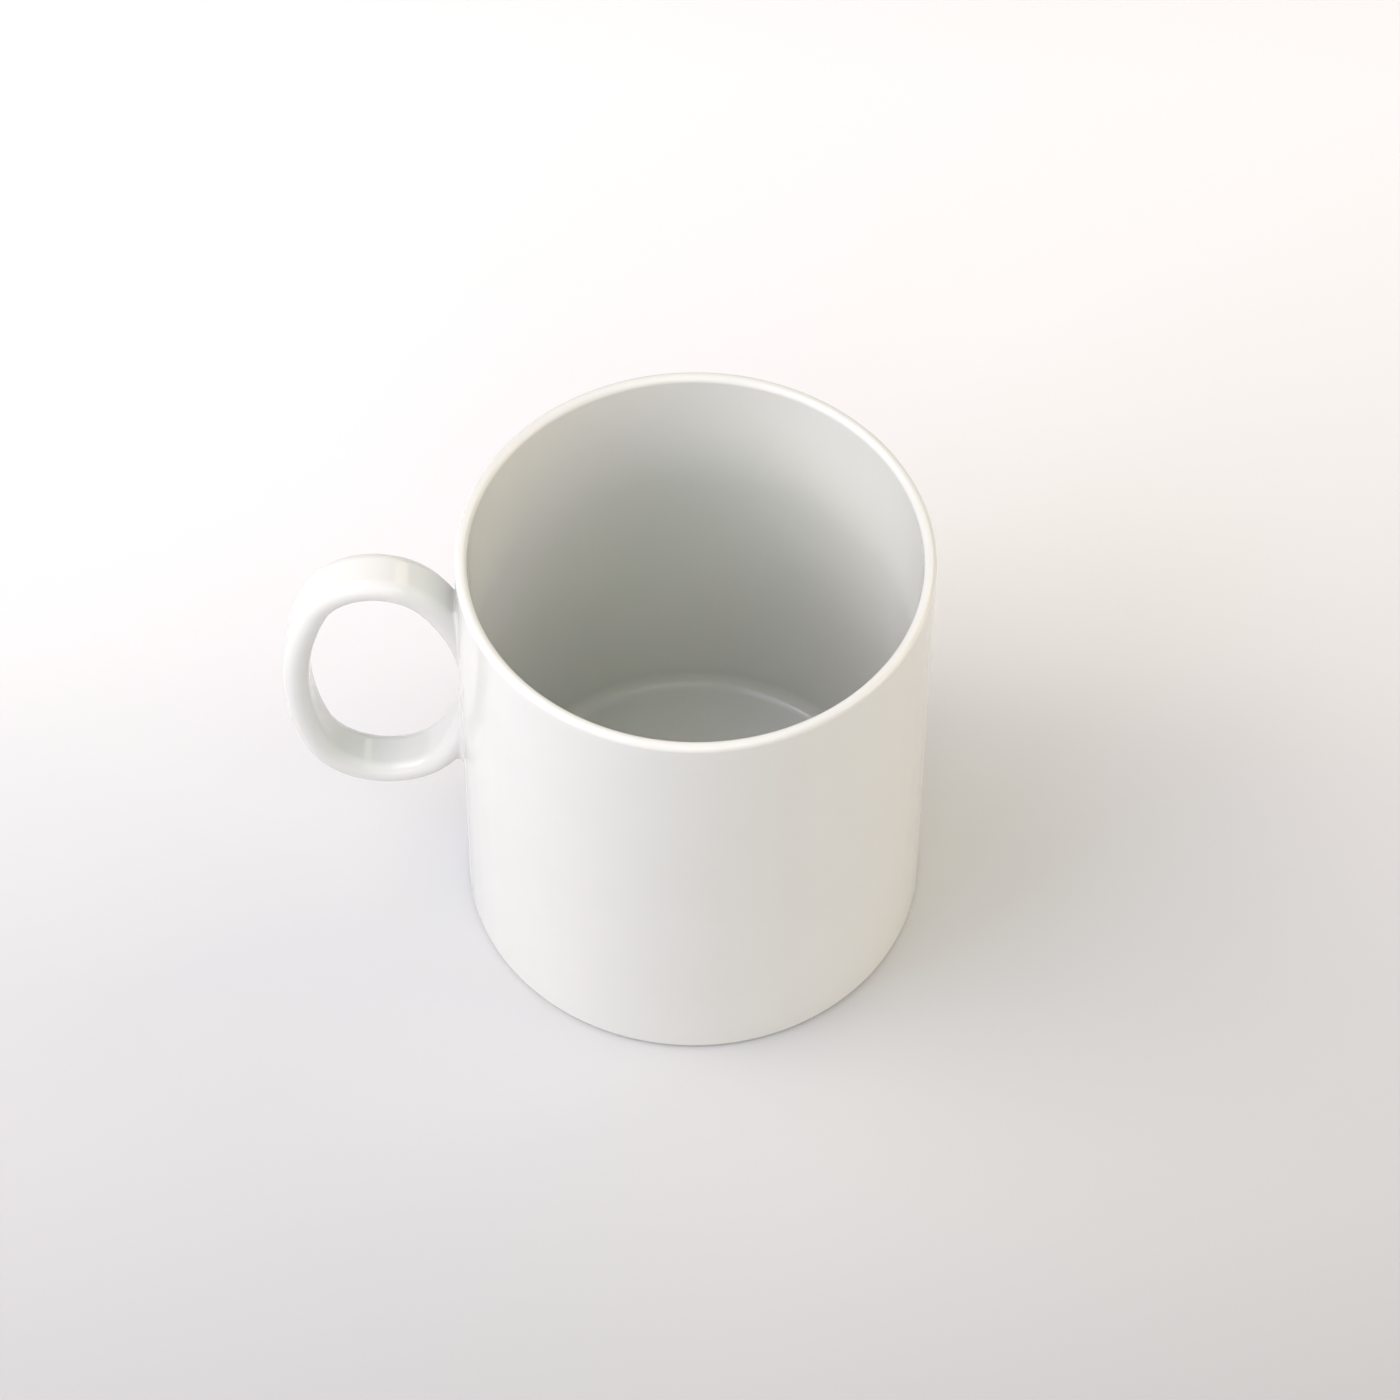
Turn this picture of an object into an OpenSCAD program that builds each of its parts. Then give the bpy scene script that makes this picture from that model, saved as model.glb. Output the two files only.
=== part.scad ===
// A glazed porcelain mug: a straight-walled cup with a strap handle luted to its side.
// The origin is the centre of the foot, on the surface the mug stands on. +Z is up, and the
// handle stands out along -X. Every size is in millimetres.

/* [Cup] */
// Outside diameter of the glazed wall
cup_d = 84; // [80:1:88]
// Height from the standing surface to the top of the lip
cup_h = 92.4; // [90:0.2:98]
// Thickness of the glazed wall below the tapered lip
wall_t = 3.4; // [3:0.1:4]
// Thickness of the glazed lip, which ends in a full round
lip_t = 2.2; // [2:0.1:2.8]
// Height over which the wall thins towards the lip
lip_taper_h = 26; // [15:1:35]
// Height of the glazed inside floor above the standing surface
floor_z = 4.5; // [4:0.1:6]
// Radius of the glazed inside corner between the wall and the floor
corner_r = 3; // [2:0.1:6]

/* [Foot] */
// Radius of the round where the wall meets the standing surface
foot_round_r = 1.2; // [0.8:0.1:1.6]
// Width of the flat, unglazed ring that the mug stands on
foot_ring_w = 3.2; // [2.5:0.1:4]
// Depth of the recess inside the foot ring, measured to the bare body
recess_h = 1.4; // [1:0.1:1.8]
// Height at which the outside glaze stops above the standing surface
glaze_line_z = 0.5; // [0.3:0.1:0.8]

/* [Handle] */
// How far the glazed handle stands out from the wall
handle_reach = 31.5; // [29:0.5:34]
// How far the loop's middle line sinks inside the wall's outer face
loop_sink = 2.6; // [2.6:0.1:3.2]
// Height of the middle of the loop above the standing surface
loop_mid_z = 57.5; // [56:0.5:60]
// Radius of the middle line along the loop's outer side
outer_side_r = 53; // [51:1:56]
// Radius of the middle line along the side that meets the wall
inner_side_r = 40; // [38:0.5:42]
// Radius of the middle line over the top of the loop
top_bend_r = 11.7; // [11.2:0.1:12.2]
// Radius of the middle line under the bottom of the loop
bottom_bend_r = 13.1; // [12.4:0.1:13.4]
// Width of the glazed strap, across the loop
strap_w = 9.2; // [8:0.1:11]
// Thickness of the glazed strap, whose edges are fully round
strap_t = 4.7; // [4.2:0.1:5]

/* [Slip and glaze] */
// Thickness of the slip that joins the handle to the wall
slip_t = 0.8; // [0.5:0.1:1.2]
// Thickness of the fired glaze
glaze_t = 0.3; // [0.2:0.05:0.4]

/* [Hidden] */
$fn = 96;

// Bare body sizes, inside the glaze
body_r = cup_d / 2 - glaze_t;
body_top = cup_h - glaze_t;
lip_r = lip_t / 2 - glaze_t;
bore_r = cup_d / 2 - wall_t + glaze_t;
bore_floor_z = floor_z - glaze_t;
bore_corner_r = corner_r + glaze_t;
lip_z = body_top - lip_r;
lip_bore_r = body_r - 2 * lip_r;
recess_r = body_r - foot_round_r - foot_ring_w;
recess_round_r = recess_h / 2;

// Bare strap sizes, and the middle line's furthest and nearest points from the cup's axis
strap_core_w = strap_w - 2 * glaze_t;
strap_core_t = strap_t - 2 * glaze_t;
loop_far = cup_d / 2 + handle_reach - strap_t / 2;
loop_near = cup_d / 2 - loop_sink;

// Distances from the cup's axis to the centres of the loop's two side arcs
outer_centre = loop_far - outer_side_r;
inner_centre = loop_near + inner_side_r;

// Each bend runs this many degrees into the side arcs, and is this much fuller than they are,
// so that the arcs fuse into one solid
lap = 1;
lap_grow = 0.02;

// Angle round the cup, to each side of the handle, within which its slip joints lie
slip_spread = 12;

// Clearance that carries a cutting shape past the surface it cuts
cut = 1;
porcelain = "ivory";
slip = "antiquewhite";
glaze = "white";

// --- Cup -------------------------------------------------------------------------------------

// Half section of the space inside the cup, with its surfaces moved inwards by grow
module bore_section(grow) {
    r = bore_r - grow;
    z = bore_floor_z + grow;
    corner = bore_corner_r - grow;
    square_top = z + corner;
    polygon([[0, square_top], [r, square_top], [r, lip_z - lip_taper_h], [lip_bore_r - grow, lip_z],
             [lip_bore_r - grow, cup_h + cut], [0, cup_h + cut]]);
    translate([r - corner, square_top]) circle(r = corner);
    translate([0, z]) square([r - corner, corner]);
}

// Half section of the cup's wall and floor, with its outer surfaces moved out by grow
module wall_section(grow) {
    foot_x = body_r - foot_round_r;
    difference() {
        union() {
            square([foot_x, foot_round_r]);
            translate([0, foot_round_r]) square([body_r + grow, lip_z - foot_round_r]);
            translate([foot_x, foot_round_r]) circle(r = foot_round_r + grow);
        }
        bore_section(grow);
    }
    translate([body_r - lip_r, lip_z]) circle(r = lip_r + grow);
}

// Half section of the shallow recess inside the foot ring, with its rounded rim
module recess_section() {
    square([recess_r - recess_round_r, recess_h]);
    square([recess_r, recess_h - recess_round_r]);
    translate([recess_r - recess_round_r, recess_h - recess_round_r]) circle(r = recess_round_r);
}

module cup_body() {
    color(porcelain)
        rotate_extrude()
            intersection() {
                difference() {
                    wall_section(0);
                    translate([0, -cut]) square([recess_r, cut]);
                    recess_section();
                }
                square([cup_d, cup_h]);
            }
}

// --- Handle ----------------------------------------------------------------------------------

// Where a bend of radius r that touches both side arcs has its centre: its distance from the
// cup's axis, and its distance above or below the middle of the loop
function bend_centre(r) =
    let(span = inner_centre - outer_centre,
        to_outer = outer_side_r - r,
        to_inner = inner_side_r - r,
        along = (to_outer * to_outer - to_inner * to_inner + span * span) / (2 * span))
    [outer_centre + along, sqrt(to_outer * to_outer - along * along)];

// Angles above the horizontal at which the bend meets the outer and the inner side arc
function outer_joint(r) = atan2(bend_centre(r)[1], bend_centre(r)[0] - outer_centre);
function inner_joint(r) = atan2(bend_centre(r)[1], bend_centre(r)[0] - inner_centre);

// Section of the strap at radius r from an arc's centre, with its surface moved out by grow
module strap_section(r, grow) {
    half_w = (strap_core_w - strap_core_t) / 2;
    edge_r = strap_core_t / 2 + grow;
    translate([r - edge_r, -half_w]) square([2 * edge_r, 2 * half_w]);
    for (side = [-1, 1]) translate([r, side * half_w]) circle(r = edge_r);
}

// One arc of the strap, in the plane through the cup's axis, with +X away from the cup
module strap_arc(centre, r, from, to, grow) {
    translate([centre[0], 0, loop_mid_z + centre[1]])
        rotate([90, 0, 0])
            rotate_extrude(angle = to - from, start = from) strap_section(r, grow);
}

// The bend over the top of the loop
module bend(r, grow) {
    strap_arc(bend_centre(r), r, outer_joint(r) - lap, inner_joint(r) + lap, grow + lap_grow);
}

// The whole loop, part of which lies inside the wall until it is trimmed
module loop(grow) {
    rotate([0, 0, 180]) {
        strap_arc([outer_centre, 0], outer_side_r, -outer_joint(bottom_bend_r),
                  outer_joint(top_bend_r), grow);
        strap_arc([inner_centre, 0], inner_side_r, inner_joint(top_bend_r),
                  360 - inner_joint(bottom_bend_r), grow);
        bend(top_bend_r, grow);
        translate([0, 0, 2 * loop_mid_z]) mirror([0, 0, 1]) bend(bottom_bend_r, grow);
    }
}

// A solid cylinder on the cup's axis, taller than the cup
module column(r) {
    translate([0, 0, -cut]) cylinder(r = r, h = cup_h + 2 * cut, $fn = 128);
}

module handle() {
    color(porcelain)
        difference() {
            loop(0);
            column(body_r + slip_t);
        }
}

// The slip layer under one end of the handle, from height from_z up
module slip_joint(from_z) {
    color(slip)
        intersection() {
            loop(0);
            rotate_extrude(angle = 2 * slip_spread, start = 180 - slip_spread)
                translate([body_r, from_z]) square([slip_t, loop_mid_z]);
        }
}

module upper_slip_joint() {
    slip_joint(loop_mid_z);
}

module lower_slip_joint() {
    slip_joint(0);
}

// --- Glaze -----------------------------------------------------------------------------------

module cup_glaze() {
    color(glaze)
        difference() {
            rotate_extrude()
                intersection() {
                    difference() {
                        wall_section(glaze_t);
                        wall_section(0);
                        square([body_r - foot_round_r, bore_floor_z]);
                    }
                    translate([0, glaze_line_z]) square([cup_d, cup_h]);
                }
            difference() {
                loop(0);
                column(body_r);
            }
        }
}

module handle_glaze() {
    color(glaze)
        difference() {
            loop(glaze_t);
            loop(0);
            column(cup_d / 2);
        }
}

module foot_recess_glaze() {
    color(glaze)
        translate([0, 0, recess_h - glaze_t])
            cylinder(r = recess_r - recess_round_r, h = glaze_t, $fn = 128);
}

cup_body();
handle();
upper_slip_joint();
lower_slip_joint();
cup_glaze();
handle_glaze();
foot_recess_glaze();
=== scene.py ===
"""A white glazed porcelain mug on a pale studio floor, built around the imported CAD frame.

Everything is in metres in the CAD's own frame: the origin is the centre of the foot, +Z is up, and the
handle stands out along -X. "Away" below means away from the cup's axis, in the plane of the handle.
"""

import math

import bmesh
import bpy
import numpy as np
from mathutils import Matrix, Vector


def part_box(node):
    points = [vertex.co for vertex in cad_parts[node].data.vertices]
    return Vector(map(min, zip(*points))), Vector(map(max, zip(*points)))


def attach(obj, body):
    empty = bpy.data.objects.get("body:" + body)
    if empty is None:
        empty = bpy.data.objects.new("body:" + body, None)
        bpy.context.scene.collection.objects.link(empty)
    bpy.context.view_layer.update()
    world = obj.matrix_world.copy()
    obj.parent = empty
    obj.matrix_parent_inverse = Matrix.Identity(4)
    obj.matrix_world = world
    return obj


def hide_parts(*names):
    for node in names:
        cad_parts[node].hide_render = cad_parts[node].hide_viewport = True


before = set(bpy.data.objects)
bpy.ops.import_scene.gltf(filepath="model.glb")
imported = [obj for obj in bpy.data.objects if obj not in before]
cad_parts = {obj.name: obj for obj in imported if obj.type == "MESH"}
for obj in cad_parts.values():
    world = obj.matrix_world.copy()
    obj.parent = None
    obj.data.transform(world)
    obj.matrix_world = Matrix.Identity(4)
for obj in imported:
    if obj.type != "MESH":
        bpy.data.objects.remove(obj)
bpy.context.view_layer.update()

MM = 0.001

# ---- Sizes that the frame gives -----------------------------------------------------------------
CUP_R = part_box("cup_glaze")[1].x
CUP_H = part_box("cup_glaze")[1].z
GLAZE_LINE_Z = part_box("cup_glaze")[0].z
BODY_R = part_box("cup_body")[1].x
BODY_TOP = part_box("cup_body")[1].z
GLAZE_T = CUP_R - BODY_R
STRAP_W = 2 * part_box("handle_glaze")[1].y
HANDLE_FAR = -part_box("handle_glaze")[0].x
RECESS_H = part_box("foot_recess_glaze")[1].z

# ---- The CAD model's driving sizes that a box can't give ------------------------------------------
WALL_T = 3.4 * MM
LIP_T = 2.2 * MM
LIP_TAPER_H = 26 * MM
FLOOR_Z = 4.5 * MM
CORNER_R = 3 * MM
FOOT_ROUND_R = 1.2 * MM
FOOT_RING_W = 3.2 * MM
LOOP_SINK = 2.6 * MM
LOOP_MID_Z = 57.5 * MM
OUTER_SIDE_R = 53 * MM
INNER_SIDE_R = 40 * MM
TOP_BEND_R = 11.7 * MM
BOTTOM_BEND_R = 13.1 * MM
STRAP_T = 4.7 * MM

# ---- Finish of the fired surface ------------------------------------------------------------------
UPPER_FILLET_R = 0.45 * MM     # glaze and slip that fill the corner over the handle's upper joint
LOWER_FILLET_R = 1.0 * MM      # the same at the lower joint, where they run together before firing
LOOP_EASE = 1.2 * MM           # length over which one arc of the loop eases into the next
FOOT_INNER_ROUND_R = 0.3 * MM  # softened inner edge of the foot ring
RECESS_ROUND_R = RECESS_H / 2  # inside corner of the recess under the foot
GLAZE_SINK = 0.04 * MM         # how far the handle's glaze runs into the cup's, where the two fuse

# ---- Mesh density ---------------------------------------------------------------------------------
TURN_STEPS = 384     # round the cup
ARC_STEPS = 20       # along each small arc of a section
WALL_STEPS = 48      # along a straight stretch of wall
LOOP_POINTS = 1440   # along the handle's middle line
STRAP_ROWS = 320     # along the visible strap
EDGE_STEPS = 40      # round each full-round edge of the strap
FACE_STEPS = 14      # across each flat face of the strap
FILLET_STEPS = 12    # along the fillet's arc


# ---- Colours --------------------------------------------------------------------------------------
GLAZE_TONES = [(0.705, 0.716, 0.684), (0.717, 0.727, 0.699)]
BISQUE_TONES = [(0.70, 0.68, 0.64), (0.80, 0.785, 0.75)]
SLIP_TONES = [(0.66, 0.64, 0.59), (0.74, 0.72, 0.67)]
FLOOR_TINTS = [(0.98, 0.99, 0.995), (0.985, 0.995, 1.0)]
# Painted shade on the floor: its tone by Y, darker towards the front, standing in for the lights falling
# off.
FLOOR_PAINTED_FALLOFF = [(-0.125, 0.50), (-0.07, 0.58), (-0.03, 0.635), (0.05, 0.80), (0.20, 0.94)]  # (Y, tone)

# ---- Camera, lights and floor ---------------------------------------------------------------------
CAMERA_LENS = 137.15                                # in mm, on a sensor 36 mm wide
CAMERA_DISTANCE = 0.9637                            # from the middle of the cup
CAMERA_ELEVATION = 53.48                            # in degrees above the floor
CAMERA_AIM = (0.0010, 0.0019, CUP_H / 2 + 0.0014)   # the point in the middle of the frame
CAMERA_ROLL = 0.56                                  # in degrees
MUG_MIDDLE = Vector((0, 0, 0.05))                   # what the lights face
SURROUND_STRENGTH = 0.4                             # of the even white light from all sides
FLOOR_HALF = 3.0                                    # from the mug to each edge of the floor
FLOOR_CELLS = 12                                    # squares along each edge of the floor


# ==== Mesh building ================================================================================

def mesh_object(name, points, faces):
    """A smooth-shaded mesh object from arrays of points and corner numbers, its faces turned outwards."""
    mesh = bpy.data.meshes.new(name)
    mesh.from_pydata([tuple(p) for p in points], [], [tuple(f) for f in faces])
    tidy = bmesh.new()
    tidy.from_mesh(mesh)
    bmesh.ops.recalc_face_normals(tidy, faces=tidy.faces)
    tidy.to_mesh(mesh)
    tidy.free()
    mesh.polygons.foreach_set("use_smooth", [True] * len(mesh.polygons))
    mesh.update()
    piece = bpy.data.objects.new(name, mesh)
    bpy.context.scene.collection.objects.link(piece)
    return piece


def skin(name, rings, closed):
    """A surface through rings of points, in order. A ring of one point is a pole.
    A closed one joins its last ring to its first."""
    starts = np.cumsum([0] + [len(ring) for ring in rings])
    faces = []
    pairs = list(zip(range(len(rings)), range(1, len(rings))))
    if closed:
        pairs.append((len(rings) - 1, 0))
    for a, b in pairs:
        count = max(len(rings[a]), len(rings[b]))
        for i in range(count):
            j = (i + 1) % count
            corners = [starts[a] + i % len(rings[a]), starts[a] + j % len(rings[a]),
                       starts[b] + j % len(rings[b]), starts[b] + i % len(rings[b])]
            corners = list(dict.fromkeys(int(c) for c in corners))
            if len(corners) > 2:
                faces.append(corners)
    return mesh_object(name, np.concatenate(rings), faces)


def arc(centre, radius, start, end, steps=ARC_STEPS):
    """Points along an arc in a section plane; the angles are in degrees."""
    angles = np.radians(np.linspace(start, end, steps + 1))
    return [(centre[0] + radius * math.cos(a), centre[1] + radius * math.sin(a)) for a in angles]


def line(start, end, steps=WALL_STEPS):
    """Points along a straight stretch, without its two ends."""
    return [tuple(np.array(start) + (np.array(end) - start) * i / steps) for i in range(1, steps)]


def lathe(name, profile):
    """A solid turned about the Z axis from a half section of (radius, height) points."""
    turn = np.linspace(0, 2 * math.pi, TURN_STEPS, endpoint=False)
    rings = []
    for radius, height in profile:
        if radius < 1e-9:
            rings.append(np.array([(0, 0, height)]))
        else:
            rings.append(np.stack([radius * np.cos(turn), radius * np.sin(turn),
                                   np.full(TURN_STEPS, height)], axis=1))
    closed = profile[0][0] > 1e-9
    return skin(name, rings, closed)


# ==== Cup ==========================================================================================

LIP_R = LIP_T / 2 - GLAZE_T
LIP_Z = BODY_TOP - LIP_R
BORE_R = CUP_R - WALL_T + GLAZE_T
BORE_FLOOR_Z = FLOOR_Z - GLAZE_T
BORE_CORNER_R = CORNER_R + GLAZE_T
LIP_BORE_R = BODY_R - 2 * LIP_R
FOOT_X = BODY_R - FOOT_ROUND_R
RECESS_R = FOOT_X - FOOT_RING_W


def cup_surface(grow):
    """Half section of the cup's surface from the middle of the inside floor, up and over the lip, to the
    foot round on the outside, moved out from the bare body by grow."""
    bore_r = BORE_R - grow
    floor_z = BORE_FLOOR_Z + grow
    corner_r = BORE_CORNER_R - grow
    lip_bore_r = LIP_BORE_R - grow
    taper_z = LIP_Z - LIP_TAPER_H
    points = [(0, floor_z)]
    points += line((0, floor_z), (bore_r - corner_r, floor_z))
    points += arc((bore_r - corner_r, floor_z + corner_r), corner_r, -90, 0)
    points += line((bore_r, floor_z + corner_r), (bore_r, taper_z))
    for i in range(WALL_STEPS):
        t = i / WALL_STEPS
        ease = t * t * (3 - 2 * t)
        points.append((bore_r + (lip_bore_r - bore_r) * ease, taper_z + LIP_TAPER_H * t))
    points += arc((BODY_R - LIP_R, LIP_Z), LIP_R + grow, 180, 0, 2 * ARC_STEPS)
    points += line((BODY_R + grow, LIP_Z), (BODY_R + grow, FOOT_ROUND_R))
    return points


def foot_round(grow, height):
    """Half section of the foot round, moved out by grow, from the wall down to a height."""
    radius = FOOT_ROUND_R + grow
    end = math.degrees(math.asin((height - FOOT_ROUND_R) / radius))
    return arc((FOOT_X, FOOT_ROUND_R), radius, 0, end)


def make_cup_body():
    """The bare porcelain: wall, floor, foot ring and the recess inside the ring."""
    corner = RECESS_R - RECESS_ROUND_R
    profile = cup_surface(0) + foot_round(0, 0)
    profile += line((FOOT_X, 0), (RECESS_R + FOOT_INNER_ROUND_R, 0), 8)
    profile += arc((RECESS_R + FOOT_INNER_ROUND_R, FOOT_INNER_ROUND_R), FOOT_INNER_ROUND_R, 270, 180)
    profile += arc((corner, RECESS_H - RECESS_ROUND_R), RECESS_ROUND_R, 0, 90)
    profile += line((corner, RECESS_H), (0, RECESS_H)) + [(0, RECESS_H)]
    return lathe("porcelain_cup_body", profile)


def make_cup_glaze():
    """The glaze coat over the inside, lip and outside, ending in a rounded edge above the foot."""
    outer = cup_surface(GLAZE_T) + foot_round(GLAZE_T, GLAZE_LINE_Z + GLAZE_T / 2)
    inner = cup_surface(0) + foot_round(0, GLAZE_LINE_Z + GLAZE_T / 2)
    out_x, out_z = outer[-1]
    in_x, in_z = inner[-1]
    middle = ((out_x + in_x) / 2, (out_z + in_z) / 2)
    half = math.hypot(out_x - in_x, out_z - in_z) / 2
    tilt = math.degrees(math.atan2(out_z - in_z, out_x - in_x))
    edge = arc(middle, half, tilt, tilt - 180)[1:-1]
    return lathe("cup_glaze_coat", outer + edge + inner[::-1])


def make_recess_glaze():
    """The glaze inside the foot's recess, carried round its corner and ending in a rounded edge."""
    wall_end = (RECESS_R - GLAZE_T / 2, GLAZE_LINE_Z)
    inner_r = RECESS_ROUND_R - GLAZE_T
    corner = (RECESS_R - RECESS_ROUND_R, RECESS_H - RECESS_ROUND_R)
    profile = [(0, RECESS_H - GLAZE_T)] + line((0, RECESS_H - GLAZE_T), (corner[0], RECESS_H - GLAZE_T))
    profile += arc(corner, inner_r, 90, 0)
    profile += arc(wall_end, GLAZE_T / 2, 180, 360)
    profile += arc(corner, RECESS_ROUND_R, 0, 90)
    profile += line((corner[0], RECESS_H), (0, RECESS_H)) + [(0, RECESS_H)]
    return lathe("foot_recess_glaze_coat", profile)


# ==== Handle =======================================================================================

LOOP_FAR = HANDLE_FAR - STRAP_T / 2
LOOP_NEAR = CUP_R - LOOP_SINK
OUTER_CENTRE = LOOP_FAR - OUTER_SIDE_R
INNER_CENTRE = LOOP_NEAR + INNER_SIDE_R


def bend_centre(radius):
    """Where a bend that touches both side arcs has its centre: away from the axis, and off the middle."""
    span = INNER_CENTRE - OUTER_CENTRE
    to_outer = OUTER_SIDE_R - radius
    to_inner = INNER_SIDE_R - radius
    along = (to_outer ** 2 - to_inner ** 2 + span ** 2) / (2 * span)
    return OUTER_CENTRE + along, math.sqrt(to_outer ** 2 - along ** 2)


def loop_line():
    """The closed middle line of the handle's loop and its outward normals, as (away, up) arrays. It starts
    inside the wall at the loop's middle height and runs under the bottom, up the far side and back."""
    top, bottom = bend_centre(TOP_BEND_R), bend_centre(BOTTOM_BEND_R)
    top_outer = math.degrees(math.atan2(top[1], top[0] - OUTER_CENTRE))
    top_inner = math.degrees(math.atan2(top[1], top[0] - INNER_CENTRE))
    bottom_outer = math.degrees(math.atan2(bottom[1], bottom[0] - OUTER_CENTRE))
    bottom_inner = math.degrees(math.atan2(bottom[1], bottom[0] - INNER_CENTRE))
    dense = LOOP_POINTS
    points = arc((INNER_CENTRE, LOOP_MID_Z), INNER_SIDE_R, 180, 360 - bottom_inner, dense)
    points += arc((bottom[0], LOOP_MID_Z - bottom[1]), BOTTOM_BEND_R, 360 - bottom_inner,
                  360 - bottom_outer, dense)[1:]
    points += arc((OUTER_CENTRE, LOOP_MID_Z), OUTER_SIDE_R, -bottom_outer, top_outer, dense)[1:]
    points += arc((top[0], LOOP_MID_Z + top[1]), TOP_BEND_R, top_outer, top_inner, dense)[1:]
    points += arc((INNER_CENTRE, LOOP_MID_Z), INNER_SIDE_R, top_inner, 180, dense)[1:]
    points = np.array(points)
    along = np.concatenate([[0], np.cumsum(np.linalg.norm(np.diff(points, axis=0), axis=1))])
    even = np.linspace(0, along[-1], LOOP_POINTS, endpoint=False)
    points = np.stack([np.interp(even, along, points[:, k]) for k in range(2)], axis=1)
    step = along[-1] / LOOP_POINTS
    reach = int(4 * LOOP_EASE / step)
    weights = np.exp(-0.5 * (np.arange(-reach, reach + 1) * step / LOOP_EASE) ** 2)
    weights /= weights.sum()
    points = sum(w * np.roll(points, k, axis=0) for w, k in zip(weights, range(-reach, reach + 1)))
    tangents = np.roll(points, -1, axis=0) - np.roll(points, 1, axis=0)
    tangents /= np.linalg.norm(tangents, axis=1)[:, None]
    normals = np.stack([tangents[:, 1], -tangents[:, 0]], axis=1)
    return points, normals


def strap_section(thickness, width):
    """Points round the strap's section and their normals, as (out of the loop, along Y) arrays."""
    radius = thickness / 2
    half = (width - thickness) / 2
    points, normals = [], []
    for side in (1, -1):
        for a in np.radians(np.linspace(0, 180, EDGE_STEPS + 1)):
            normal = (math.cos(a) * side, math.sin(a) * side)
            points.append((radius * normal[0], side * half + radius * normal[1]))
            normals.append(normal)
        for i in range(1, FACE_STEPS):
            y = side * half * (1 - 2 * i / FACE_STEPS)
            points.append((-side * radius, y))
            normals.append((-side, 0.0))
    return np.array(points), np.array(normals)


class Strap:
    """The handle's strap: its section swept along the middle line, as far as where it meets the wall."""

    def __init__(self, thickness, width):
        self.line, self.line_normals = loop_line()
        self.section, self.section_normals = strap_section(thickness, width)

    def at(self, place, column, lift=0.0):
        """The point of one lengthwise line of the strap, lifted off its surface, and its normal."""
        count = len(self.line)
        low = int(math.floor(place))
        share = place - low
        middle = (1 - share) * self.line[low % count] + share * self.line[(low + 1) % count]
        out = (1 - share) * self.line_normals[low % count] + share * self.line_normals[(low + 1) % count]
        across, y = self.section[column] + lift * self.section_normals[column]
        away, up = middle + across * out
        turn, side = self.section_normals[column]
        return np.array([-away, y, up]), np.array([-turn * out[0], side, turn * out[1]])

    def meeting(self, column, wall_r, lift, direction):
        """The place along the strap, searched from its far side, where the lifted line reaches wall_r."""
        across, y = self.section[column] + lift * self.section_normals[column]
        away = self.line[:, 0] + across * self.line_normals[:, 0]
        limit = math.sqrt((wall_r + lift) ** 2 - y ** 2)
        here = len(self.line) // 2
        while away[(here + direction) % len(self.line)] > limit:
            here += direction
        there = here + direction
        gap = away[here % len(self.line)] - limit
        fall = away[here % len(self.line)] - away[there % len(self.line)]
        return here + direction * gap / fall


def fillet(strap, column, place, radius, wall_r):
    """The arc of a ball of that radius that rests on the wall and on one line of the strap, from the
    strap to just under the wall's surface."""
    centre, normal = strap.at(place, column, radius)
    radial = np.array([centre[0], centre[1], 0.0])
    radial /= np.linalg.norm(radial)
    angle = math.acos(max(-1.0, min(1.0, float(normal @ radial))))
    points = []
    for i in range(1, FILLET_STEPS + 1):
        t = i / FILLET_STEPS
        toward = (math.sin((1 - t) * angle) * normal + math.sin(t * angle) * radial) / math.sin(angle)
        points.append(centre - radius * toward)
    slide = points[-1] - points[-2]
    points.append(points[-1] + slide - radial * GLAZE_SINK)
    return points


def make_handle_glaze():
    """The handle's glaze coat: the strap's outer face with its fillets onto the wall, and the face it
    shares with the bare handle inside."""
    coat = Strap(STRAP_T, STRAP_W)
    core = Strap(STRAP_T - 2 * GLAZE_T, STRAP_W - 2 * GLAZE_T)
    columns = range(len(coat.section))
    outer, inner = [], []
    for c in columns:
        low = coat.meeting(c, CUP_R, LOWER_FILLET_R, -1)
        high = coat.meeting(c, CUP_R, UPPER_FILLET_R, 1)
        rows = [coat.at(p, c)[0] for p in np.linspace(low, high, STRAP_ROWS)]
        start = fillet(coat, c, low, LOWER_FILLET_R, CUP_R)
        end = fillet(coat, c, high, UPPER_FILLET_R, CUP_R)
        outer.append(start[::-1] + rows + end)
        low = core.meeting(c, BODY_R, 0.0, -1)
        high = core.meeting(c, BODY_R, 0.0, 1)
        inner.append([core.at(p, c)[0] for p in np.linspace(high, low, STRAP_ROWS)])
    rings = list(np.array(outer).transpose(1, 0, 2)) + list(np.array(inner).transpose(1, 0, 2))
    return skin("handle_glaze_coat", rings, True)


# ==== Materials ====================================================================================

def material(name):
    """A new node material, its Principled shader and a function that adds a linked node."""
    made = bpy.data.materials.new(name)
    made.use_nodes = True
    tree = made.node_tree
    shader = tree.nodes["Principled BSDF"]

    def add(kind, **inputs):
        node = tree.nodes.new(kind)
        for key, value in inputs.items():
            socket = node.inputs[key.replace("_", " ")]
            if isinstance(value, bpy.types.NodeSocket):
                tree.links.new(value, socket)
            else:
                socket.default_value = value
        return node

    return made, tree, shader, add


def ramp(add, value, low, high, colours):
    """A colour ramp between two colours over part of a texture's range."""
    node = add("ShaderNodeValToRGB", Fac=value)
    node.color_ramp.elements[0].position = low
    node.color_ramp.elements[1].position = high
    node.color_ramp.elements[0].color = (*colours[0], 1)
    node.color_ramp.elements[1].color = (*colours[1], 1)
    return node


def map_range(add, value, low, high):
    """A texture value stretched from its usual range to low..high."""
    node = add("ShaderNodeMapRange", Value=value)
    node.inputs["From Min"].default_value = 0.3
    node.inputs["From Max"].default_value = 0.7
    node.inputs["To Min"].default_value = low
    node.inputs["To Max"].default_value = high
    return node


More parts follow.
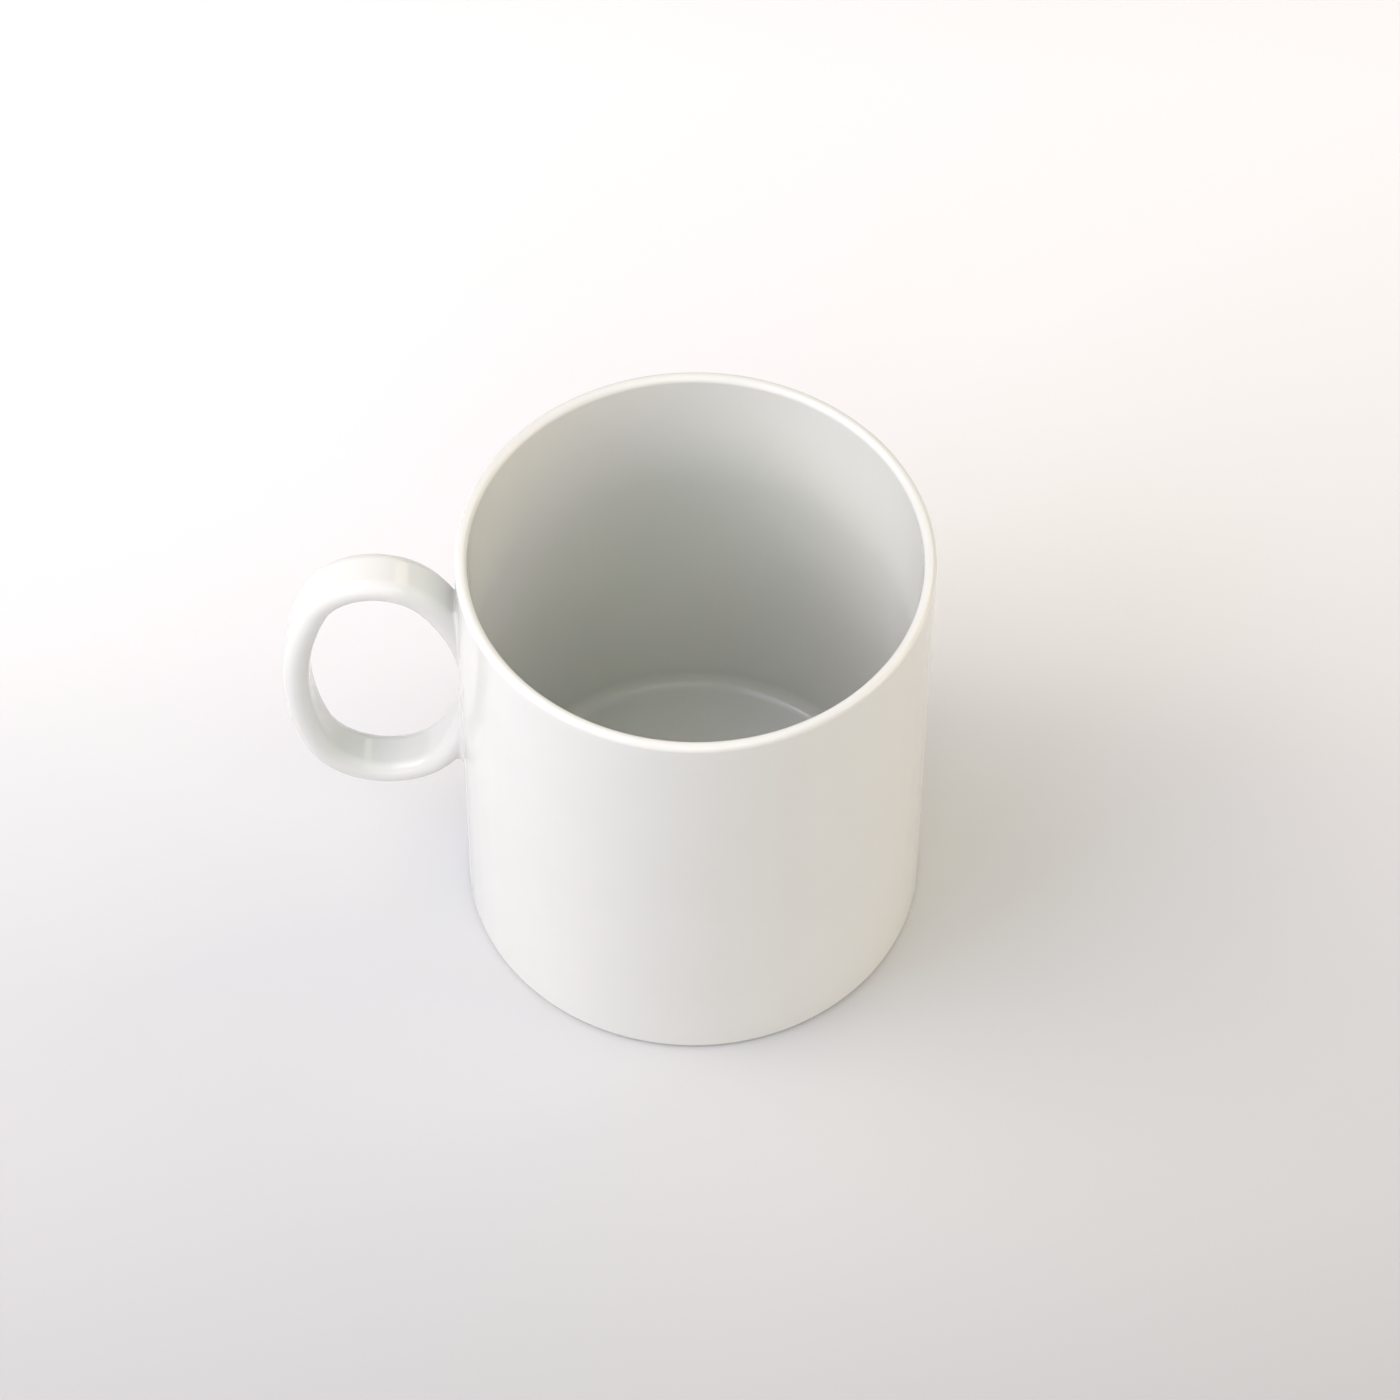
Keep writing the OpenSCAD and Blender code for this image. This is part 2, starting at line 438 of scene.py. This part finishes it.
def glaze_material():
    """Clear gloss over white porcelain, with the faint tone and ripple of a poured glaze."""
    made, tree, shader, add = material("white_glaze")
    place = add("ShaderNodeTexCoord").outputs["Object"]
    cloud = add("ShaderNodeTexNoise", Vector=place, Scale=45.0, Detail=3.0)
    tone = ramp(add, cloud.outputs["Fac"], 0.3, 0.7, GLAZE_TONES)
    tree.links.new(tone.outputs["Color"], shader.inputs["Base Color"])
    film = add("ShaderNodeTexNoise", Vector=place, Scale=160.0, Detail=4.0)
    gloss = map_range(add, film.outputs["Fac"], 0.035, 0.075)
    tree.links.new(gloss.outputs["Result"], shader.inputs["Roughness"])
    ripple = add("ShaderNodeTexNoise", Vector=place, Scale=110.0, Detail=2.0)
    bump = add("ShaderNodeBump", Height=ripple.outputs["Fac"], Strength=0.25, Distance=0.02 * MM)
    tree.links.new(bump.outputs["Normal"], shader.inputs["Normal"])
    shader.inputs["IOR"].default_value = 1.5
    return made


def bisque_material(name, tones):
    """Bare fired clay: matte and fine grained, with a few pale and dark specks."""
    made, tree, shader, add = material(name)
    place = add("ShaderNodeTexCoord").outputs["Object"]
    grain = add("ShaderNodeTexNoise", Vector=place, Scale=900.0, Detail=6.0)
    tone = ramp(add, grain.outputs["Fac"], 0.35, 0.65, tones)
    tree.links.new(tone.outputs["Color"], shader.inputs["Base Color"])
    rough = map_range(add, grain.outputs["Fac"], 0.6, 0.8)
    tree.links.new(rough.outputs["Result"], shader.inputs["Roughness"])
    bump = add("ShaderNodeBump", Height=grain.outputs["Fac"], Strength=0.5, Distance=0.05 * MM)
    tree.links.new(bump.outputs["Normal"], shader.inputs["Normal"])
    return made


def floor_material():
    """A pale, matte sheet with a hardly visible mottle, and painted shade that darkens it gently towards
    the front in place of the lights falling off.
    """
    made, tree, shader, add = material("pale_floor")
    place = add("ShaderNodeTexCoord").outputs["Object"]
    mottle = add("ShaderNodeTexNoise", Vector=place, Scale=9.0, Detail=2.0)
    tint = ramp(add, mottle.outputs["Fac"], 0.3, 0.7, FLOOR_TINTS)
    # Painted shade: the floor's colour darkens towards the front (-Y), in place of the lights falling off.
    depth = add("ShaderNodeSeparateXYZ", Vector=place).outputs["Y"]
    first, last = FLOOR_PAINTED_FALLOFF[0][0], FLOOR_PAINTED_FALLOFF[-1][0]
    share = add("ShaderNodeMapRange", Value=depth)
    share.inputs["From Min"].default_value = first
    share.inputs["From Max"].default_value = last
    painted_falloff = add("ShaderNodeValToRGB", Fac=share.outputs["Result"])
    stops = painted_falloff.color_ramp.elements
    while len(stops) < len(FLOOR_PAINTED_FALLOFF):
        stops.new(1.0)
    for stop, (y, tone) in zip(stops, FLOOR_PAINTED_FALLOFF):
        stop.position = (y - first) / (last - first)
        stop.color = (tone, tone, tone, 1)
    mottle_and_painted_falloff = add("ShaderNodeVectorMath")
    mottle_and_painted_falloff.operation = "MULTIPLY"
    tree.links.new(tint.outputs["Color"], mottle_and_painted_falloff.inputs[0])
    tree.links.new(painted_falloff.outputs["Color"], mottle_and_painted_falloff.inputs[1])
    tree.links.new(mottle_and_painted_falloff.outputs["Vector"], shader.inputs["Base Color"])
    grain = add("ShaderNodeTexNoise", Vector=place, Scale=700.0, Detail=3.0)
    bump = add("ShaderNodeBump", Height=grain.outputs["Fac"], Strength=0.1, Distance=0.02 * MM)
    tree.links.new(bump.outputs["Normal"], shader.inputs["Normal"])
    shader.inputs["Roughness"].default_value = 0.7
    shader.inputs["Specular IOR Level"].default_value = 0.1
    return made


# ==== Scene ========================================================================================

def make_floor():
    """A wide flat sheet under the mug, as a fine grid so that its mesh shades evenly."""
    side = np.linspace(-FLOOR_HALF, FLOOR_HALF, FLOOR_CELLS + 1)
    row_step = len(side)
    points = [(x, y, 0.0) for y in side for x in side]
    faces = []
    for row in range(FLOOR_CELLS):
        for column in range(FLOOR_CELLS):
            first = row * row_step + column
            faces.append((first, first + 1, first + row_step + 1, first + row_step))
    floor = mesh_object("studio_floor", points, faces)
    floor.data.materials.append(floor_material())


def aim(obj, target):
    """Turns a camera or a light to face a point."""
    obj.rotation_euler = (Vector(target) - obj.location).to_track_quat("-Z", "Y").to_euler()


def make_camera():
    """The camera, above and in front of the mug."""
    data = bpy.data.cameras.new("camera")
    data.sensor_width = 36
    data.lens = CAMERA_LENS
    data.clip_start = 0.01
    camera = bpy.data.objects.new("camera", data)
    bpy.context.scene.collection.objects.link(camera)
    rise = math.radians(CAMERA_ELEVATION)
    middle = Vector((0, 0, CUP_H / 2))
    camera.location = middle + CAMERA_DISTANCE * Vector((0, -math.cos(rise), math.sin(rise)))
    aim(camera, CAMERA_AIM)
    camera.rotation_euler.rotate_axis("Z", math.radians(CAMERA_ROLL))
    bpy.context.scene.camera = camera


def softbox(name, azimuth, elevation, distance, size, power, colour):
    """A rectangular studio light that faces the mug, and that the camera itself doesn't see.
    The azimuth is in degrees from +Y towards +X, and the elevation in degrees above the floor."""
    data = bpy.data.lights.new(name, "AREA")
    data.shape = "RECTANGLE"
    data.size, data.size_y = size
    data.energy = power
    data.color = colour
    light = bpy.data.objects.new(name, data)
    bpy.context.scene.collection.objects.link(light)
    turn, rise = math.radians(azimuth), math.radians(elevation)
    toward = Vector((math.cos(rise) * math.sin(turn), math.cos(rise) * math.cos(turn), math.sin(rise)))
    light.location = MUG_MIDDLE + distance * toward
    light.visible_camera = False
    aim(light, MUG_MIDDLE)


def make_lights():
    """The strongest softboxes stand on the left. Weaker ones round the mug and an even white surround
    fill in. Near ones light the top of the mug more than its foot."""
    softbox("key_up_left", 270, 58, 1.0, (0.85, 0.72), 2.9, (0.84, 0.81, 1.0))
    softbox("left_wall", 255, 28, 1.0, (0.90, 0.34), 4.5, (0.97, 0.97, 1.0))
    softbox("left_near", 270, 50, 0.5, (0.25, 0.20), 0.43, (1.0, 0.79, 0.47))
    softbox("front_low", 195, 12, 1.0, (0.90, 0.36), 1.75, (1.0, 0.82, 0.87))
    softbox("front_near", 165, 50, 0.42, (0.25, 0.20), 0.24, (0.92, 1.0, 0.67))
    softbox("front_left_near", 230, 45, 0.42, (0.25, 0.20), 0.38, (0.71, 0.74, 1.0))
    softbox("right_fill", 100, 32, 1.0, (0.60, 0.36), 1.9, (1.0, 0.80, 0.88))
    softbox("right_low", 90, 12, 1.0, (0.70, 0.36), 2.1, (1.0, 0.86, 0.53))
    softbox("back_right_near", 45, 50, 0.5, (0.25, 0.20), 0.32, (1.0, 0.84, 0.60))
    world = bpy.data.worlds.new("studio")
    world.use_nodes = True
    world.node_tree.nodes["Background"].inputs["Color"].default_value = (1, 1, 1, 1)
    world.node_tree.nodes["Background"].inputs["Strength"].default_value = SURROUND_STRENGTH
    bpy.context.scene.world = world


def dress(piece, look, nodes):
    """Gives a piece its material and body, and hides the CAD nodes it stands for."""
    piece.data.materials.append(look)
    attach(piece, "root")
    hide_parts(*nodes)


make_camera()
glaze = glaze_material()
bisque = bisque_material("bare_porcelain", BISQUE_TONES)
slip = bisque_material("joining_slip", SLIP_TONES)

dress(make_cup_body(), bisque, ["cup_body"])
dress(make_cup_glaze(), glaze, ["cup_glaze"])
dress(make_handle_glaze(), glaze, ["handle_glaze"])
dress(make_recess_glaze(), glaze, ["foot_recess_glaze"])
for node, look in (("handle", bisque), ("upper_slip_joint", slip), ("lower_slip_joint", slip)):
    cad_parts[node].data.materials.clear()
    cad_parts[node].data.materials.append(look)

make_floor()
make_lights()
bpy.context.scene.view_settings.view_transform = "Standard"
